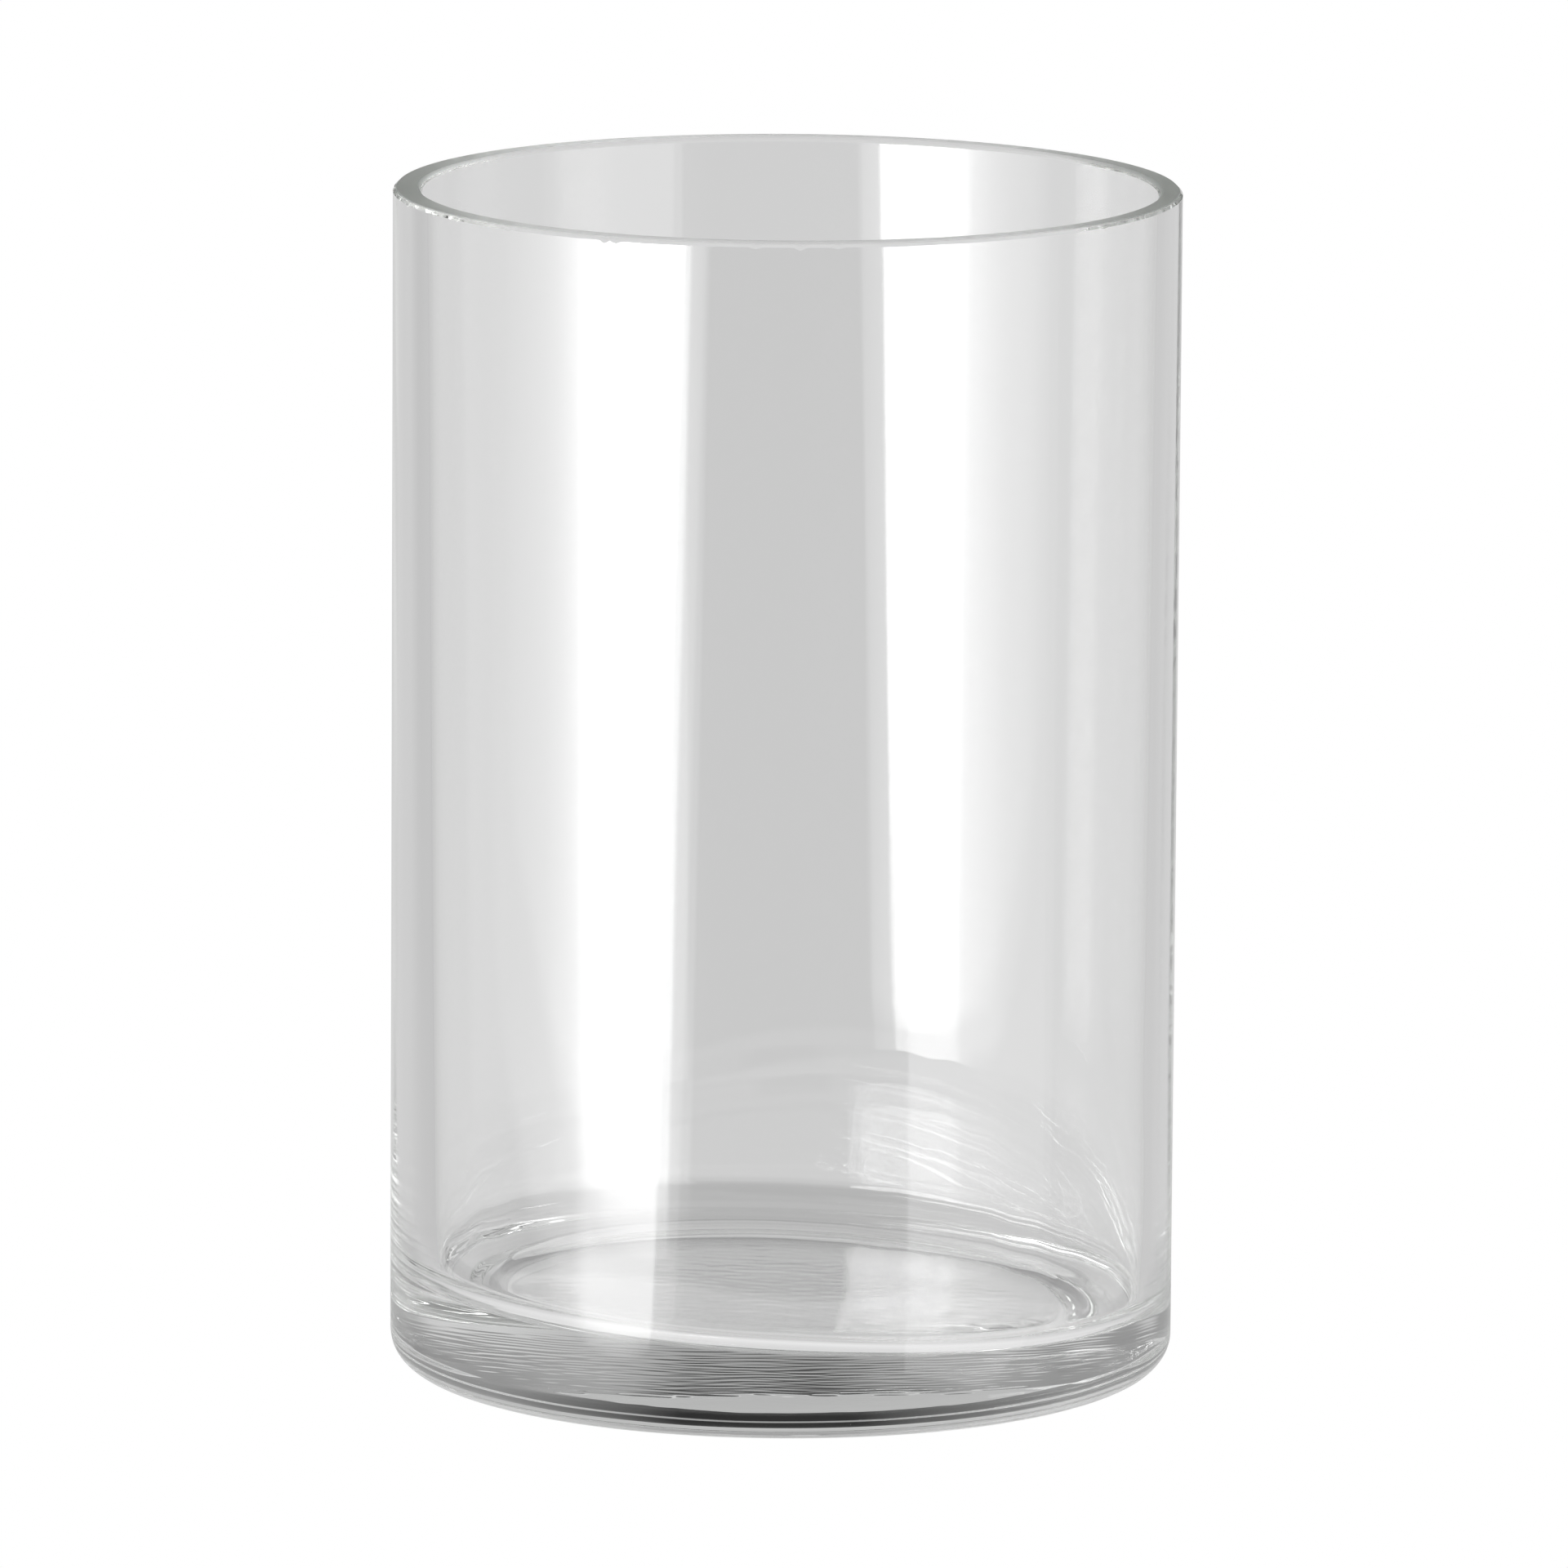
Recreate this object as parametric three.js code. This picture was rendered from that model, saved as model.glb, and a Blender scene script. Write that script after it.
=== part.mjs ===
// Clear glass cylinder vase: one thick-walled mould-blown body, cut square and ground at the rim.
// Millimetres, +Z up. The origin is the middle of the foot, on the surface that the vase stands on.
import * as THREE from "three";

// Driving dimensions.
const outerDiameter = 100;
const height = 152;
const wallAtRim = 3.4;
const wallAtFloor = 4.7; // blown glass runs a little thicker towards the base
const baseThickness = 10.5; // from the standing surface to the inner floor
const heelWidth = 5.5; // rounded outer edge between the wall and the foot, measured across
const heelHeight = 4.8; // and upwards
const cornerWidth = 8.3; // rounded inner edge between the wall and the floor, measured across
const cornerHeight = 4.5; // and upwards
const footRingWidth = 3.3; // flat ring that the vase stands on
const recessDepth = 2.2; // how far the flat middle of the underside is above the foot ring
const recessSlopeWidth = 6; // from the foot ring in to the flat middle
const outerBevel = 0.5; // bevels left by grinding the rim
const innerBevel = 0.4;

// How finely the round shapes are cut into flat faces.
const turnSteps = 120;
const arcSteps = 6;
const slopeSteps = 6;

const glass = new THREE.MeshStandardMaterial({
  color: 0xe9edec,
  roughness: 0.02,
  metalness: 0,
  transparent: true,
  opacity: 0.35,
});

const outerRadius = outerDiameter / 2;
const footOuterRadius = outerRadius - heelWidth;
const footInnerRadius = footOuterRadius - footRingWidth;
const innerRadiusAtRim = outerRadius - wallAtRim;
const innerRadiusAtFloor = outerRadius - wallAtFloor;

// A quarter of an ellipse as points, its two ends included. Angles are in radians, anticlockwise from
// the radial direction.
function quarterEllipse(centreRadius, centreHeight, width, tallness, from, to) {
  return Array.from({ length: arcSteps + 1 }, (_, i) => {
    const angle = from + ((to - from) * i) / arcSteps;
    return new THREE.Vector2(
      centreRadius + width * Math.cos(angle),
      centreHeight + tallness * Math.sin(angle),
    );
  });
}

// The underside: flat in the middle, then down to the foot ring along half a cosine wave.
function recess() {
  const slope = Array.from({ length: slopeSteps + 1 }, (_, i) => {
    const share = i / slopeSteps;
    return new THREE.Vector2(
      footInnerRadius - recessSlopeWidth * (1 - share),
      (recessDepth * (1 + Math.cos(Math.PI * share))) / 2,
    );
  });
  return [new THREE.Vector2(0, recessDepth), ...slope];
}

// The heel: from the foot up to the outer wall.
function heel() {
  return quarterEllipse(footOuterRadius, heelHeight, heelWidth, heelHeight, -Math.PI / 2, 0);
}

// The rim: a flat ground face with a small bevel on each edge.
function rim() {
  return [
    new THREE.Vector2(outerRadius, height - outerBevel),
    new THREE.Vector2(outerRadius - outerBevel, height),
    new THREE.Vector2(innerRadiusAtRim + innerBevel, height),
    new THREE.Vector2(innerRadiusAtRim, height - innerBevel),
  ];
}

// The inner corner: from the inner wall down to the floor.
function innerCorner() {
  const centreRadius = innerRadiusAtFloor - cornerWidth;
  const centreHeight = baseThickness + cornerHeight;
  return quarterEllipse(centreRadius, centreHeight, cornerWidth, cornerHeight, 0, -Math.PI / 2);
}

const floorMiddle = new THREE.Vector2(0, baseThickness);
const profile = [...recess(), ...heel(), ...rim(), ...innerCorner(), floorMiddle];

const body = new THREE.LatheGeometry(profile, turnSteps);
body.rotateX(Math.PI / 2); // the lathe turns about Y, and the vase stands along Z

const vase = new THREE.Mesh(body, glass);
vase.name = "glass_vase";

const group = new THREE.Group();
group.add(vase);

export default group;
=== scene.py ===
import math

import bpy
import numpy as np
from mathutils import Matrix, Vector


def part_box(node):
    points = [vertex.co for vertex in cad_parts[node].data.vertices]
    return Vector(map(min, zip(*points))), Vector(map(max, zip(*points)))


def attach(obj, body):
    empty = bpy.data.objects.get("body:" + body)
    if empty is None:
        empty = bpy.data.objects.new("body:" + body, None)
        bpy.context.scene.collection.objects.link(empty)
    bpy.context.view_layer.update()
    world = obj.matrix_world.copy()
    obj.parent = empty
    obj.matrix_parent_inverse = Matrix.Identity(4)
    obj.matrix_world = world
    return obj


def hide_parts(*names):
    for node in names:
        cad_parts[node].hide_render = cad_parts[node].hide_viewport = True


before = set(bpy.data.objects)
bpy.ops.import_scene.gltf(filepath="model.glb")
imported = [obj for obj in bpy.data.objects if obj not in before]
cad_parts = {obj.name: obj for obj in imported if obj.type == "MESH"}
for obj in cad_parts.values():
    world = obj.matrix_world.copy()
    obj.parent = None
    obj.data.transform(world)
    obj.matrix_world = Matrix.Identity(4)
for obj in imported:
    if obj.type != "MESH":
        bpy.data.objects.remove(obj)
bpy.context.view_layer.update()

# ---- Camera ---------------------------------------------------------------------------------------
# A long lens two metres in front looks down on the vase by about ten degrees, with a trace of roll.
camera_data = bpy.data.cameras.new("studio_camera")
camera_data.sensor_width = 36.0
camera_data.lens = 363.6
camera_data.clip_end = 50.0
camera = bpy.data.objects.new("studio_camera", camera_data)
camera_place = Matrix.Translation((0.0, -1.9863, 0.43226))
look_down = Matrix.Rotation(math.radians(90.0 - 10.189), 4, "X")
roll = Matrix.Rotation(math.radians(0.384), 4, "Z")
camera.matrix_world = camera_place @ look_down @ roll
bpy.context.scene.collection.objects.link(camera)
bpy.context.scene.camera = camera

# ---- Vase -----------------------------------------------------------------------------------------
# One body of clear soda-lime glass, blown into a plain mould on a heavy gather, so the base is thick
# and the cavity is a little off centre. The top is cut off square, ground flat and bevelled. The
# inside was never touched by a mould: it keeps draw lines, rings in its floor and a sagging corner.
mm = 0.001
vase_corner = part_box("glass_vase")[1]
vase_radius = vase_corner.x
vase_height = vase_corner.z
wall_at_rim = 3.4 * mm
wall_at_floor = 4.7 * mm
base_thickness = 10.5 * mm
floor_fall = 0.45 * mm  # the inner floor is highest in the middle
floor_fall_power = 6.0
heel_width = 5.5 * mm
heel_height = 4.8 * mm
heel_power = 2.15
corner_width = 8.3 * mm
corner_height = 4.55 * mm
corner_power = 2.0
foot_ring_width = 3.3 * mm
recess_depth = 2.2 * mm
recess_slope_width = 6.0 * mm
outer_bevel = 0.5 * mm
inner_bevel = 0.6 * mm
corner_sag = 1.0 * mm  # on the right
floor_slope = 0.038  # how far the inner floor falls for every metre to the right
cavity_offset_at_foot = 0.7 * mm  # how far the cavity is off centre, to the right
cavity_offset_at_rim = 0.3 * mm
rim_centred_width = 1.5 * mm  # from the outer wall in, the part of the rim that is not off centre
chip_reach = 0.5 * mm
chip_rarity = 1.2  # in spreads of a bell curve, beyond which a step around the rim is chipped
steps_around = 400

# how far each kind of unevenness mostly swings from the true surface: where its waves happen to add
# up, it swings two or three times as far
underside_wave_height = 0.0013 * mm
heel_wave_height = 0.012 * mm
outer_wall_wave_height = 0.004 * mm
draw_line_height = 0.010 * mm
wrinkle_height = 0.035 * mm
floor_ring_height = 0.005 * mm
floor_swell_height = 0.02 * mm
floor_swell_length = 27.0 * mm


def quarter(centre_r, centre_z, width, height, power, start, end, count):
    """A quarter of a superellipse as rows of (r, z), both ends included.

    It is the centre plus (width, height) times the cosine and sine of the angle, each raised to
    2 / power with its sign kept.
    """
    angle = np.linspace(start, end, count)
    across, up = np.cos(angle), np.sin(angle)
    r = centre_r + width * np.sign(across) * np.abs(across) ** (2.0 / power)
    z = centre_z + height * np.sign(up) * np.abs(up) ** (2.0 / power)
    return np.column_stack((r, z))


def straight(start, end, count):
    """Evenly spaced points from start to end as rows of (r, z), both ends included."""
    share = np.linspace(0.0, 1.0, count)[:, None]
    return (1.0 - share) * np.array(start) + share * np.array(end)


def smooth_step(value, low, high):
    """0 at low, 1 at high, and three squares less two cubes of the share between them."""
    share = np.clip((value - low) / (high - low), 0.0, 1.0)
    return share * share * (3.0 - 2.0 * share)


foot_radius = vase_radius - heel_width
recess_radius = foot_radius - foot_ring_width
rim_inner_radius = vase_radius - wall_at_rim
floor_wall_radius = vase_radius - wall_at_floor
floor_radius = floor_wall_radius - corner_width
corner_top = base_thickness - floor_fall + corner_height

recess_r = np.linspace(0.0, recess_radius, 110)
recess_slope = smooth_step(recess_r, recess_radius - recess_slope_width, recess_radius)
recess = np.column_stack((recess_r, recess_depth * (1.0 - recess_slope)))
foot = straight((recess_radius, 0.0), (foot_radius, 0.0), 5)
heel = quarter(foot_radius, heel_height, heel_width, heel_height, heel_power, -np.pi / 2, 0.0, 22)
outer_wall = straight((vase_radius, heel_height), (vase_radius, vase_height - outer_bevel), 14)
bevel_middle = (vase_radius - outer_bevel / 2, vase_height - outer_bevel / 2)
bevel = straight(bevel_middle, bevel_middle, 1)
rim_face = straight(
    (vase_radius - outer_bevel, vase_height), (rim_inner_radius + inner_bevel, vase_height), 4
)
rim_edge = (rim_inner_radius, vase_height - inner_bevel)
inner_wall = straight(rim_edge, (floor_wall_radius, corner_top), 18)
corner = quarter(
    floor_radius, corner_top, corner_width, corner_height, corner_power, 0.0, -np.pi / 2, 22
)
floor_r = np.linspace(floor_radius, 0.0, 44)
floor_z = base_thickness - floor_fall * (floor_r / floor_radius) ** floor_fall_power
inner_floor = np.column_stack((floor_r, floor_z))

parts = [
    recess, foot[1:], heel[1:], outer_wall[1:], bevel, rim_face, inner_wall, corner[1:], inner_floor[1:]
]
profile = np.vstack(parts)
in_recess, _, in_heel, in_outer_wall, in_bevel, in_rim, in_inner_wall, in_corner, in_floor = (
    np.repeat(np.arange(len(parts)), [len(part) for part in parts]) == place
    for place in range(len(parts))
)
inside = in_inner_wall | in_corner | in_floor
profile_r, profile_z = profile[:, 0][:, None], profile[:, 1][:, None]

turn = np.arange(steps_around) * 2.0 * np.pi / steps_around
bearing = turn + np.pi / 2  # 0 is the side towards the camera, a quarter turn is its right
random = np.random.default_rng(11)


def towards(side, low):
    """1 where the vase faces a bearing in degrees, down to 0 where the cosine between is low."""
    return smooth_step(np.cos(bearing - np.radians(side)), low, 0.9)


def ripples(place, turns, lengths, orders, size):
    """Shallow criss-cross waves, as a height for every row and step around.

    place is the radius or the height of each row. It is the mean of cosines of (a full turn per wave
    length along place, plus the order times the angle around, plus a random start), times size and
    the square root of how many waves there are.
    """
    starts = random.uniform(0.0, 2.0 * np.pi, len(lengths))
    phases = 2.0 * np.pi * place[..., None] / lengths + turns[..., None] * orders + starts
    return size * np.sqrt(len(lengths)) * np.cos(phases).mean(axis=-1)


relief = np.zeros((len(profile), steps_around))  # how far the surface is pushed out along its normal

# the chilled underside has short waves, drawn out from side to side
waves = 40
wave_turns = random.normal(np.pi / 2, 0.5, waves)
wave_counts = 2.0 * np.pi / (random.uniform(2.0, 4.6, waves) * mm)
wave_starts = random.uniform(0.0, 2.0 * np.pi, waves)
wave_share = np.cos(turn[None, :, None] - wave_turns)
underside_waves = np.cos(profile_r[in_recess][..., None] * wave_share * wave_counts + wave_starts)
underside_waves = underside_wave_height * np.sqrt(waves) * underside_waves.mean(axis=-1)
flat_end = recess_radius - recess_slope_width
fade = 1.0 - smooth_step(profile_r[in_recess], flat_end - 6.0 * mm, flat_end)
relief[in_recess] = underside_waves * fade

# the heel and the outer wall are nearly true, with long faint waves
heel_waves = ripples(
    profile_z[in_heel], turn[None, :],
    random.uniform(9.0, 20.0, 8) * mm, random.integers(-24, 25, 8), heel_wave_height,
)
relief[in_heel] = heel_waves * smooth_step(profile_z[in_heel], 0.0, 1.5 * mm)
relief[in_outer_wall] = ripples(
    profile_z[in_outer_wall], turn[None, :],
    random.uniform(60.0, 200.0, 8) * mm, random.integers(-20, 21, 8), outer_wall_wave_height,
)

# grinding the rim broke small chips out of the outer bevel
chip_depth = chip_reach * np.clip(random.normal(0.0, 1.0, steps_around) - chip_rarity, 0.0, 0.8)
relief[in_bevel] = -0.7 * chip_depth
wall_top = int(np.flatnonzero(in_outer_wall)[-1])

# draw lines run down the inner wall, and it is wrinkled low down on the right
inner_z = profile_z[in_inner_wall | in_corner]
draw_orders = random.integers(5, 50, 26)
draw_lengths = random.uniform(250.0, 900.0, 26) * mm * random.choice((-1.0, 1.0), 26)
draw_lines = ripples(inner_z, turn[None, :], draw_lengths, draw_orders, draw_line_height)
wrinkles = ripples(
    inner_z, turn[None, :],
    random.uniform(10.0, 26.0, 12) * mm, random.integers(-30, 31, 12), wrinkle_height,
)
low_right = towards(112.0, 0.2) * (1.0 - smooth_step(inner_z, 24.0 * mm, 46.0 * mm))
above_corner = smooth_step(inner_z, corner_top - 1.0 * mm, corner_top + 5.0 * mm)
relief[in_inner_wall | in_corner] = (draw_lines + wrinkles * low_right) * above_corner

# rings in the inner floor, deepest in front on the right, over one long swell
floor_rings = ripples(
    profile_r[in_floor], turn[None, :],
    random.uniform(3.0, 7.0, 8) * mm, random.integers(-2, 3, 8), floor_ring_height,
)
front_right = 0.25 + 0.75 * towards(50.0, 0.2)
fade = smooth_step(profile_r[in_floor], 2.0 * mm, 10.0 * mm)
fade = fade * (1.0 - smooth_step(profile_r[in_floor], 28.0 * mm, floor_radius))
swell = -floor_swell_height * np.cos(2.0 * np.pi * profile_r[in_floor] / floor_swell_length)
relief[in_floor] = floor_rings * front_right * fade + swell

along = np.gradient(profile, axis=0)
along = along / np.linalg.norm(along, axis=1)[:, None]
surface_r = profile_r + along[:, 1][:, None] * relief
surface_z = profile_z - along[:, 0][:, None] * relief

surface_z[wall_top] -= chip_depth

# the corner sags on the right, where more of the gather was blown into the wall, and the floor slopes
sag = corner_sag * towards(82.0, 0.1)
depth = smooth_step(profile_r, floor_radius, floor_radius + corner_width)
depth = depth * (1.0 - smooth_step(profile_z, corner_top, corner_top + 30.0 * mm)) * inside[:, None]
low_inside = (profile_z < corner_top + 1.0 * mm) * inside[:, None]
tilt = floor_slope * profile_r * np.cos(turn) * low_inside
surface_z = surface_z - sag * depth - tilt

# the cavity is off centre to the right, most of all at the foot
offset = cavity_offset_at_foot - (cavity_offset_at_foot - cavity_offset_at_rim) * profile_z / vase_height
off_centre = (inside | in_rim)[:, None] * (profile_r < vase_radius - rim_centred_width)
surface_x = surface_r * np.cos(turn) + offset * off_centre
surface_y = surface_r * np.sin(turn)

points = np.stack((surface_x, surface_y, surface_z), axis=-1)
poles = np.array([points[0, 0], points[-1, 0]])
points = np.vstack((points[1:-1].reshape(-1, 3), poles))
rows = len(profile) - 2
here = np.arange(rows * steps_around).reshape(rows, steps_around)
after = np.roll(here, -1, axis=1)
quads = np.stack((here[:-1], after[:-1], after[1:], here[1:]), axis=-1).reshape(-1, 4)
under_pole = np.full(steps_around, rows * steps_around)
floor_pole = under_pole + 1
triangles = np.vstack((
    np.column_stack((under_pole, after[0], here[0])),
    np.column_stack((floor_pole, here[-1], after[-1])),
))
vase_mesh = bpy.data.meshes.new("vase_glass")
vase_mesh.from_pydata(points.tolist(), [], quads.tolist() + triangles.tolist())
vase_mesh.polygons.foreach_set("use_smooth", [True] * len(vase_mesh.polygons))
vase_mesh.set_sharp_from_angle(angle=math.radians(28.0))
ground = vase_mesh.attributes.new("ground", "FLOAT", "POINT")
ground_rows = np.repeat(in_rim[1:-1].astype(float), steps_around)
ground.data.foreach_set("value", np.concatenate((ground_rows, (0.0, 0.0))))
vase_mesh.update()
vase = bpy.data.objects.new("vase_glass", vase_mesh)
bpy.context.scene.collection.objects.link(vase)

clear_glass = bpy.data.materials.new("clear_glass")
clear_glass.use_nodes = True
glass_tree = clear_glass.node_tree
glass = glass_tree.nodes["Principled BSDF"]
glass.inputs["Base Color"].default_value = (1.0, 1.0, 1.0, 1.0)
glass.inputs["IOR"].default_value = 1.5
glass.inputs["Transmission Weight"].default_value = 1.0
ground_mask = glass_tree.nodes.new("ShaderNodeAttribute")
ground_mask.attribute_name = "ground"
roughness = glass_tree.nodes.new("ShaderNodeMath")
roughness.operation = "MULTIPLY"
roughness.inputs[1].default_value = 0.75
glass_tree.links.new(ground_mask.outputs["Fac"], roughness.inputs[0])
glass_tree.links.new(roughness.outputs["Value"], glass.inputs["Roughness"])
absorption = glass_tree.nodes.new("ShaderNodeVolumeAbsorption")
absorption.inputs["Color"].default_value = (0.52, 0.60, 0.50, 1.0)
absorption.inputs["Density"].default_value = 0.8
volume = glass_tree.nodes["Material Output"].inputs["Volume"]
glass_tree.links.new(absorption.outputs["Volume"], volume)
vase_mesh.materials.append(clear_glass)

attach(vase, "root")
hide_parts("glass_vase")

# ---- Room -----------------------------------------------------------------------------------------
# A plain white studio. What the glass mirrors and bends is a pale table, dim in the far front, pale
# at the sides and behind, under walls and a ceiling that are darkest low at the back and high in front.


def calculate(tree, operation, *values):
    """A Math node on numbers or sockets, as its output socket."""
    node = tree.nodes.new("ShaderNodeMath")
    node.operation = operation
    for socket, value in zip(node.inputs, values):
        if isinstance(value, float):
            socket.default_value = value
        else:
            tree.links.new(value, socket)
    return node.outputs["Value"]


def ramp(tree, value, low, high, stops):
    """Greys along a value that runs from low to high: each stop is (value, grey)."""
    node = tree.nodes.new("ShaderNodeValToRGB")
    spread = tree.nodes.new("ShaderNodeMapRange")
    spread.inputs["From Min"].default_value = low
    spread.inputs["From Max"].default_value = high
    tree.links.new(value, spread.inputs["Value"])
    tree.links.new(spread.outputs["Result"], node.inputs["Fac"])
    elements = node.color_ramp.elements
    for _ in stops[2:]:
        elements.new(1.0)
    for element, (place, grey) in zip(elements, stops):
        element.position = (place - low) / (high - low)
        element.color = (grey, grey, grey, 1.0)
    return node.outputs["Color"]


def blend(tree, share, first, second):
    """first where share is 0, second where it is 1."""
    node = tree.nodes.new("ShaderNodeMix")
    tree.links.new(share, node.inputs["Factor"])
    for socket, value in (("A", first), ("B", second)):
        if isinstance(value, float):
            node.inputs[socket].default_value = value
        else:
            tree.links.new(value, node.inputs[socket])
    return node.outputs["Result"]


world = bpy.data.worlds.new("studio_room")
bpy.context.scene.world = world
world.use_nodes = True
room = world.node_tree
direction = room.nodes.new("ShaderNodeSeparateXYZ")
room.links.new(room.nodes.new("ShaderNodeTexCoord").outputs["Generated"], direction.inputs["Vector"])
to_right, to_back, to_top = direction.outputs
to_front = calculate(room, "MULTIPLY", to_back, -1.0)
azimuth = calculate(room, "DEGREES", calculate(room, "ARCTAN2", to_right, to_front))
elevation = calculate(room, "DEGREES", calculate(room, "ARCSINE", to_top))
overhead = calculate(room, "DEGREES", calculate(room, "ARCTAN2", to_top, to_back))
far_table = ramp(room, azimuth, -180.0, 180.0, [
    (-180, 0.665), (-158, 0.63), (-137, 0.51), (-124, 0.70), (-112, 0.90), (-90, 0.80), (-70, 0.85),
    (-40, 0.40), (-25, 0.15), (0, 0.13), (25, 0.15), (40, 0.40), (70, 0.80), (90, 0.80),
    (112, 0.86), (124, 0.76), (140, 0.57), (158, 0.63), (180, 0.665),
])
near_table = ramp(room, azimuth, -180.0, 180.0, [
    (-180, 0.66), (-90, 0.74), (0, 0.86), (90, 0.74), (180, 0.66),
])
farness = ramp(room, elevation, -30.0, 0.0, [(-30, 0.0), (-26, 0.0), (-15, 1.0), (0, 1.0)])
table = blend(room, farness, near_table, far_table)
ceiling = ramp(room, overhead, 0.0, 180.0, [
    (0, 0.02), (11.0, 0.03), (12.43, 0.06), (12.68, 0.42), (15, 0.40), (19, 0.34),
    (30, 0.34), (42, 0.50), (60, 0.55), (90, 0.80), (106, 0.50), (116, 0.15), (145, 0.10),
    (155, 0.30), (180, 0.45),
])
side_sector = ramp(room, azimuth, -180.0, 180.0, [
    (-180, 0.0), (-172, 0.0), (-160, 0.5), (-145, 1.0), (-50, 1.0), (-30, 0.0),
    (30, 0.0), (50, 1.0), (145, 1.0), (158, 0.5), (170, 0.0), (180, 0.0),
])
low_down = ramp(room, elevation, 0.0, 60.0, [(0, 1.0), (30, 1.0), (50, 0.0), (60, 0.0)])
side_wall = ramp(room, elevation, 0.0, 60.0, [(0, 0.24), (12.4, 0.26), (12.65, 0.62), (60, 0.50)])
at_side = calculate(room, "MULTIPLY", side_sector, low_down)
above = blend(room, at_side, ceiling, side_wall)
above_table = ramp(room, elevation, -1.0, 1.0, [(-1, 0.0), (1, 1.0)])
seen_room = blend(room, above_table, table, above)
seen_by_camera = room.nodes.new("ShaderNodeLightPath").outputs["Is Camera Ray"]
white = blend(room, seen_by_camera, seen_room, 1.0)
room.links.new(white, room.nodes["Background"].inputs["Color"])

# ---- Table top under the vase ---------------------------------------------------------------------
# The white top just around the foot, seen through the thick base. It is no lamp: its glow is painted
# light for a lit table top, with painted shade where the glass stands on it, most of all in front.
# The camera sees it as plain white, and from below it is clear.


def glowing(name, strength):
    """A material that only gives off light. Returns it, its node tree and the colour socket."""
    material = bpy.data.materials.new(name)
    material.use_nodes = True
    nodes = material.node_tree.nodes
    nodes.remove(nodes["Principled BSDF"])
    emission = nodes.new("ShaderNodeEmission")
    emission.inputs["Strength"].default_value = strength
    surface = nodes["Material Output"].inputs["Surface"]
    material.node_tree.links.new(emission.outputs["Emission"], surface)
    return material, material.node_tree, emission.inputs["Color"]


def show_through(tree, solid):
    """Makes the material clear where solid is 0 and leaves it as it is where solid is 1."""
    surface = tree.nodes["Material Output"].inputs["Surface"]
    light = surface.links[0].from_socket
    clear = tree.nodes.new("ShaderNodeBsdfTransparent")
    mixed = tree.nodes.new("ShaderNodeMixShader")
    tree.links.new(solid, mixed.inputs["Fac"])
    tree.links.new(clear.outputs["BSDF"], mixed.inputs[1])
    tree.links.new(light, mixed.inputs[2])
    tree.links.new(mixed.outputs["Shader"], surface)


front_reach = 60.0 * mm
back_reach = 120.0 * mm
top_height = -0.2 * mm  # a hair under the foot
top_steps = 96
top_turn = np.linspace(0.0, 2.0 * np.pi, top_steps, endpoint=False)
top_reach = front_reach + (back_reach - front_reach) * np.clip(np.sin(top_turn), 0.0, 1.0)
top_points = np.column_stack((
    top_reach * np.cos(top_turn), top_reach * np.sin(top_turn), np.full(top_steps, top_height),
))
top_mesh = bpy.data.meshes.new("table_top")
top_mesh.from_pydata(top_points.tolist(), [], [list(range(top_steps))])
# painted light: the table top glows in place of a lit table, and only the glass sees that glow
top_material, top_tree, top_colour = glowing("table_top", 1.0)
place = top_tree.nodes.new("ShaderNodeSeparateXYZ")
top_tree.links.new(top_tree.nodes.new("ShaderNodeTexCoord").outputs["Object"], place.inputs["Vector"])
across, towards_back, _ = place.outputs
across_squared = calculate(top_tree, "MULTIPLY", across, across)
back_squared = calculate(top_tree, "MULTIPLY", towards_back, towards_back)
metres_out = calculate(top_tree, "SQRT", calculate(top_tree, "ADD", across_squared, back_squared))
reach = calculate(top_tree, "MULTIPLY", metres_out, 1000.0)
# painted shadow: in front, a dark ring just outside the foot, where the glass stands on the table
in_shadow = ramp(top_tree, reach, 0.0, 120.0, [
    (0, 0.72), (34, 0.70), (40, 0.78), (44, 0.86), (48, 0.60), (51, 0.10), (56, 0.06), (60, 0.40),
    (120, 0.80),
])
# painted shade beside the front shadow, only a faint dip just outside the foot
beside_shadow = ramp(top_tree, reach, 0.0, 120.0, [
    (0, 0.72), (34, 0.70), (40, 0.78), (44, 0.84), (48, 0.68), (60, 0.65), (120, 0.80),
])
shadow_side = ramp(top_tree, calculate(top_tree, "MULTIPLY", across, 1000.0), -60.0, 60.0, [
    (-60, 1.0), (-22, 1.0), (-14, 0.0), (10, 0.0), (18, 1.0), (60, 1.0),
])
front_greys = blend(top_tree, shadow_side, in_shadow, beside_shadow)
# painted light under the base, and a band of painted shade behind the foot where the glass stands
back_greys = ramp(top_tree, reach, 0.0, 120.0, [
    (0, 0.95), (36, 0.90), (42, 0.60), (47, 0.50), (60, 0.50), (76, 0.51), (90, 0.60),
    (120, 0.68),
])
backness = calculate(top_tree, "MULTIPLY_ADD", towards_back, 12.0, 0.5)
backness = calculate(top_tree, "MINIMUM", calculate(top_tree, "MAXIMUM", backness, 0.0), 1.0)
# painted light and painted shade of the table top, blended from front to back
painted_table_light = blend(top_tree, backness, front_greys, back_greys)
is_camera = top_tree.nodes.new("ShaderNodeLightPath").outputs["Is Camera Ray"]
top_tree.links.new(blend(top_tree, is_camera, painted_table_light, 1.0), top_colour)
from_below = top_tree.nodes.new("ShaderNodeNewGeometry").outputs["Backfacing"]
show_through(top_tree, calculate(top_tree, "SUBTRACT", 1.0, from_below))
top_mesh.materials.append(top_material)
table_top = bpy.data.objects.new("table_top", top_mesh)
bpy.context.scene.collection.objects.link(table_top)

# ---- Key softbox ----------------------------------------------------------------------------------
# A diffuser on the left, in front, that makes both bright stripes: one mirrored by the front of the
# vase and one by the back. It fades out on its far side. Its near edge is sharp, with a dim strip
# beyond it, and leans. Its lower edge is soft.


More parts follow.
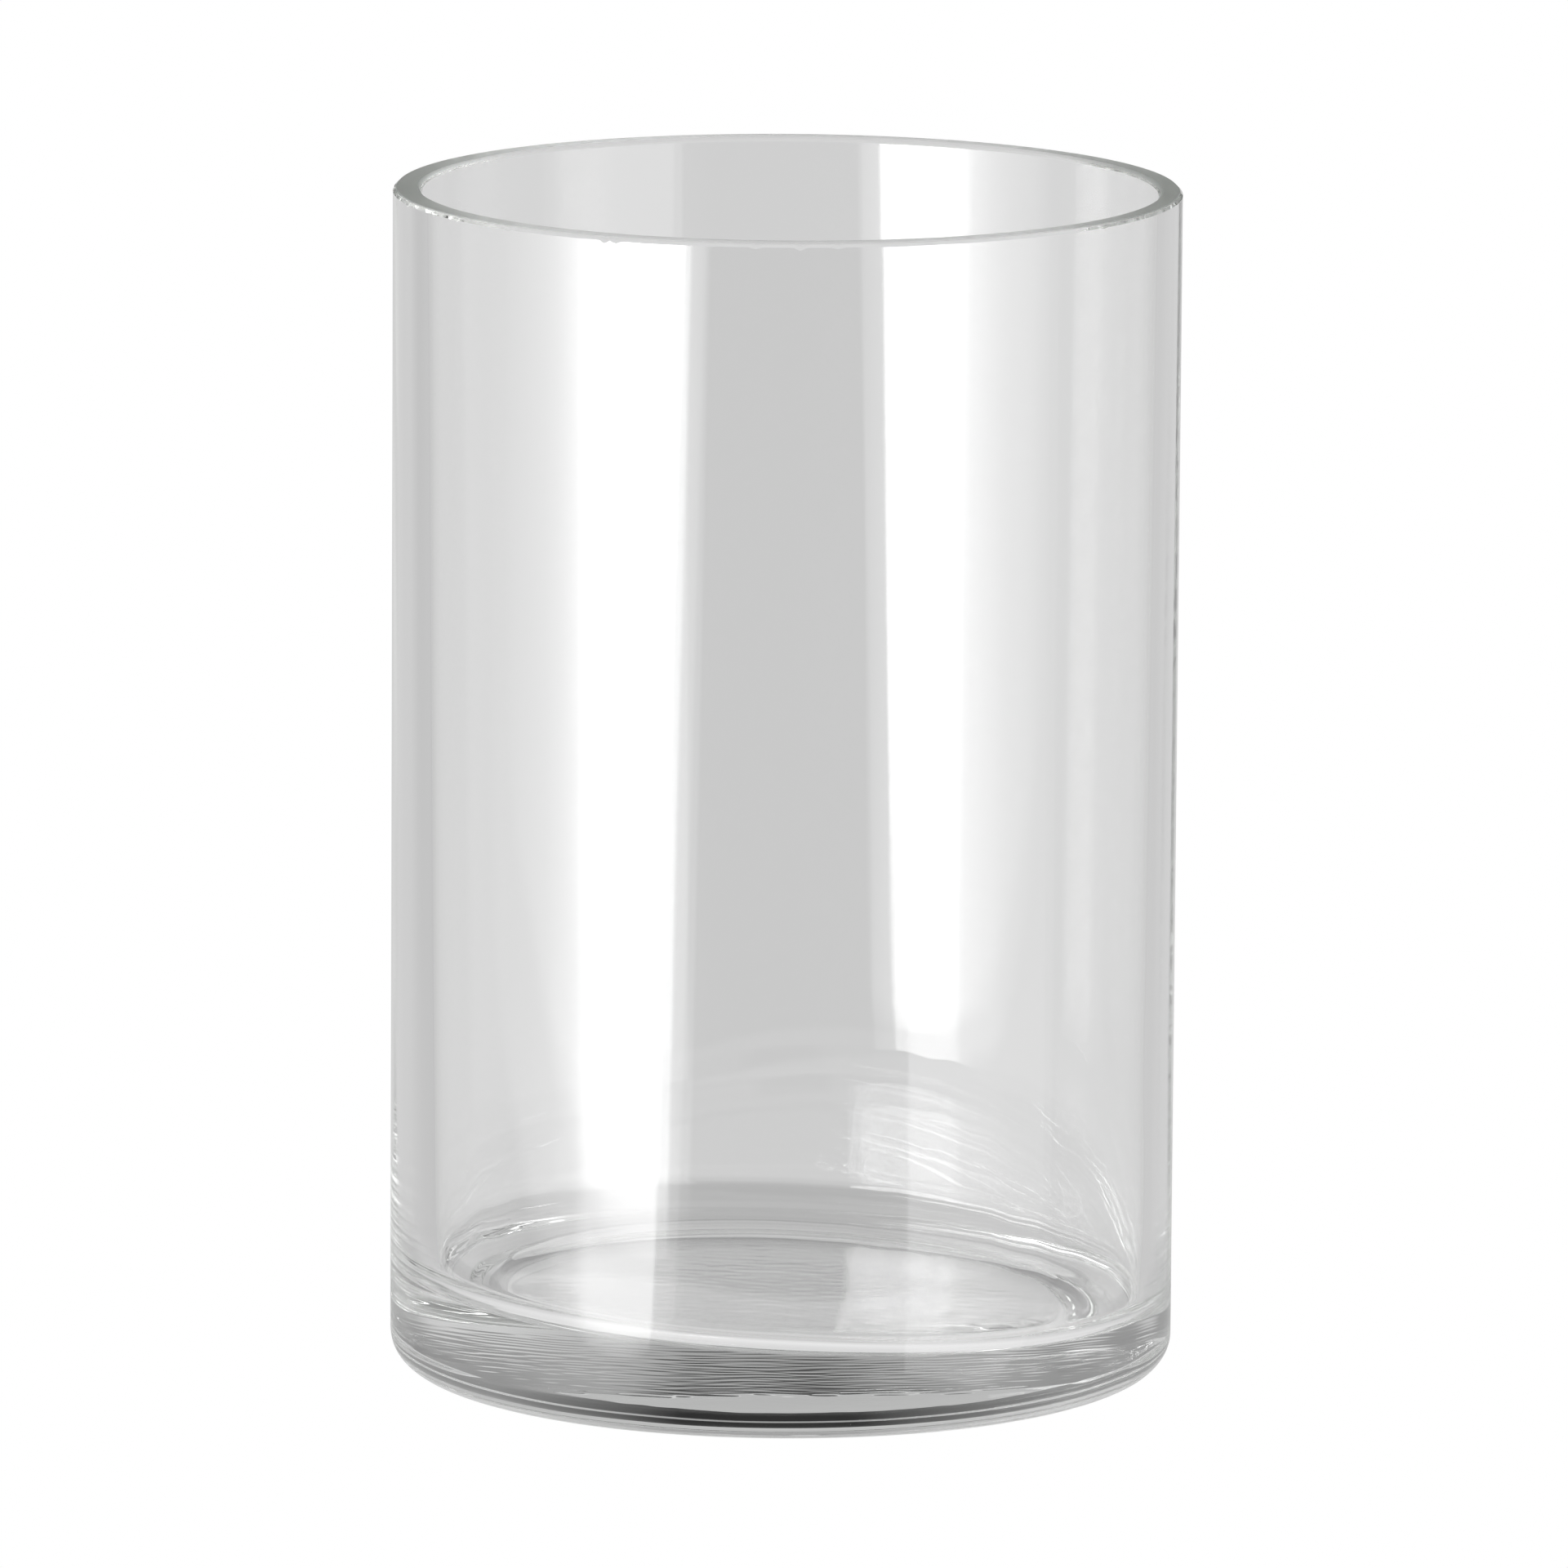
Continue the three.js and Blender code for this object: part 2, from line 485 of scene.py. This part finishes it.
def card(name, azimuth, distance, low, high, strength, stops, lean_stops, lean, fade):
    """A flat upright diffuser that faces the vase, unseen by the camera.

    azimuth is where it stands, in degrees from the camera's side to the right. stops are (azimuth,
    grey) along it. lean_stops are the same, for an edge that leans: it moves to its right by lean
    for every metre up from the table. The two greys are multiplied, and the card is clear where they
    are 0. low and high are its lower and upper edges in metres, and it fades in over the height
    fade above the lower one.
    """
    angle = math.radians(azimuth)
    sideways = np.array((math.cos(angle), math.sin(angle), 0.0))
    centre = distance * np.array((math.sin(angle), -math.cos(angle), 0.0))
    edges = [distance * math.tan(math.radians(stops[place][0] - azimuth)) for place in (0, -1)]
    corners = [
        centre + sideways * edge + np.array((0.0, 0.0, height))
        for edge, height in ((edges[0], low), (edges[1], low), (edges[1], high), (edges[0], high))
    ]
    card_mesh = bpy.data.meshes.new(name)
    card_mesh.from_pydata([tuple(corner) for corner in corners], [], [(0, 1, 2, 3)])
    across_uv = card_mesh.uv_layers.new(name="metres")
    across_uv.data.foreach_set("uv", (
        edges[0], low, edges[1], low, edges[1], high, edges[0], high,
    ))
    material, tree, _ = glowing(name, strength)
    uv = tree.nodes.new("ShaderNodeSeparateXYZ")
    tree.links.new(tree.nodes.new("ShaderNodeTexCoord").outputs["UV"], uv.inputs["Vector"])
    leaned = calculate(tree, "MULTIPLY_ADD", uv.outputs["Y"], -lean, uv.outputs["X"])
    greys = [
        ramp(tree, value, edges[0] - 0.5, edges[1] + 0.5, [
            (distance * math.tan(math.radians(place - azimuth)), grey) for place, grey in pairs
        ])
        for value, pairs in ((uv.outputs["X"], stops), (leaned, lean_stops))
    ]
    fading = ramp(tree, uv.outputs["Y"], low, high, [(low, 0.0), (low + fade, 1.0), (high, 1.0)])
    show_through(tree, calculate(tree, "MULTIPLY", calculate(tree, "MULTIPLY", *greys), fading))
    card_mesh.materials.append(material)
    made = bpy.data.objects.new(name, card_mesh)
    bpy.context.scene.collection.objects.link(made)
    made.visible_camera = False


card("key_softbox", -45.0, 0.8, -0.166, 0.36, 7.0, [
    (-94, 0.0), (-86, 0.10), (-78, 0.17), (-70, 0.27), (-62, 0.48), (-57, 1.0), (-20, 1.0),
], [
    (-94, 1.0), (-31, 1.0), (-30, 0.26), (-24.5, 0.16), (-23.5, 0.0), (-20, 0.0),
], 0.6, 0.015)

# ---- Side card ------------------------------------------------------------------------------------
# A dimmer upright diffuser on the right, in front, that lightens the right half of the vase. Its near
# edge is sharp, and it fades to about half on its far side.
card("side_card", 52.0, 0.8, -0.18, 0.50, 1.6, [
    (35.5, 0.0), (36.5, 0.95), (42, 1.0), (62, 0.9), (74, 0.65), (84, 0.55),
], [(20, 1.0), (86, 1.0)], 0.0, 0.001)

# ---- Light in the glass ---------------------------------------------------------------------------
# Light can run down inside the wall and back up to the rim, mirrored dozens of times, so it is
# followed for many bounces. Colours are shown as they are, with no film curve.
most_bounces = 96
scene = bpy.context.scene
scene.view_settings.view_transform = "Standard"
scene.cycles.max_bounces = most_bounces
scene.cycles.transmission_bounces = most_bounces
scene.cycles.glossy_bounces = most_bounces
